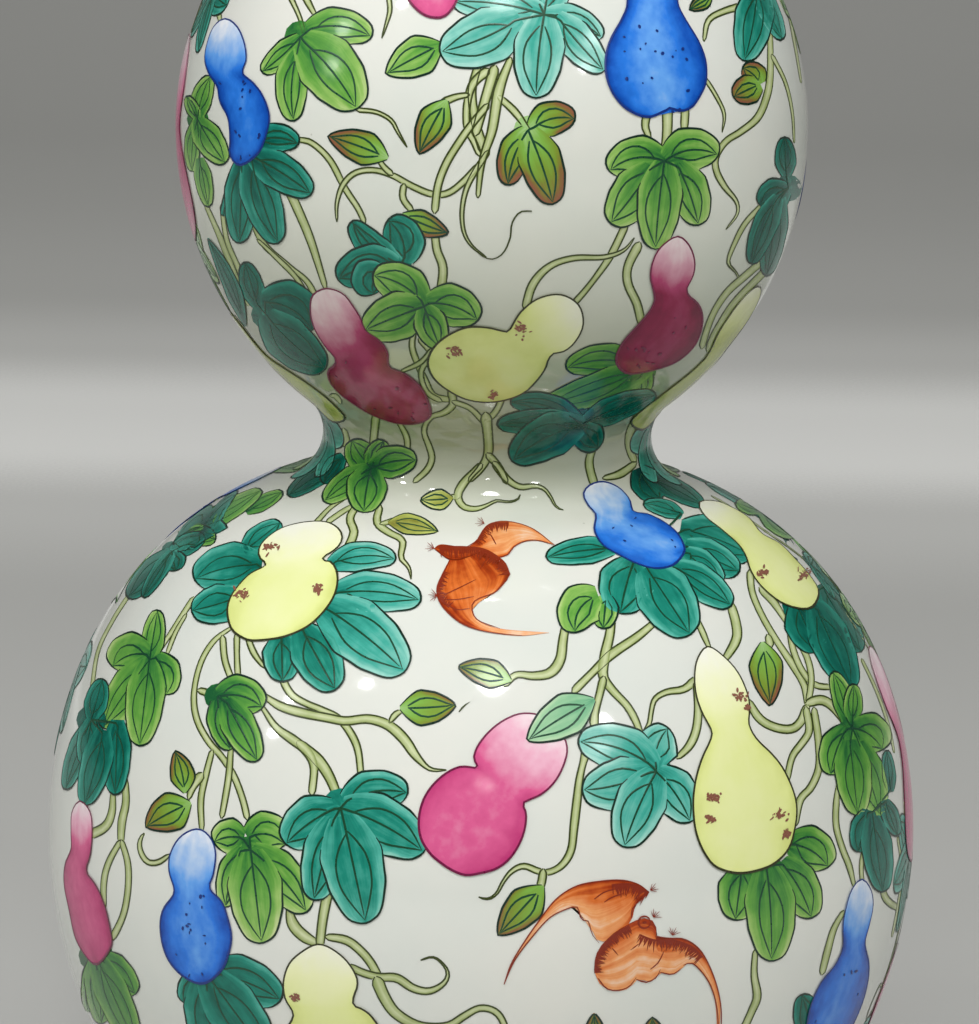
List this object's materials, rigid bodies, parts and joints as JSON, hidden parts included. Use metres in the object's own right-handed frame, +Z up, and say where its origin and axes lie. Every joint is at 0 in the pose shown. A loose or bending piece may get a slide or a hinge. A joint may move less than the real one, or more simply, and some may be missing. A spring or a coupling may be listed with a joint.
{
  "type": "double gourd vase",
  "caption": "Porcelain flower vase shaped as a double gourd, with a narrow waist, short neck and foot ring, painted with gourds, vines and bats.",
  "frame": {"origin": "centre of the foot ring's resting plane", "axes": "+Z up the vase's own axis to the mouth; the painted front faces -Y"},
  "size_m": [0.1746, 0.1746, 0.3108],
  "materials": {
    "porcelain_body": "unglazed biscuit",
    "slip": "unglazed slip",
    "outer_glaze": "clear gloss glaze with painted enamels",
    "inner_glaze": "clear gloss glaze"
  },
  "bodies": {
    "root": {"lower_bowl": "porcelain_body", "belly_slip_joint": "slip", "lower_shoulder": "porcelain_body", "waist_slip_joint": "slip", "upper_bowl": "porcelain_body", "upper_slip_joint": "slip", "upper_shoulder": "porcelain_body", "neck_slip_joint": "slip", "neck": "porcelain_body", "outer_glaze": "outer_glaze", "inner_glaze": "inner_glaze", "base_glaze": "inner_glaze"}
  },
  "joints": []
}
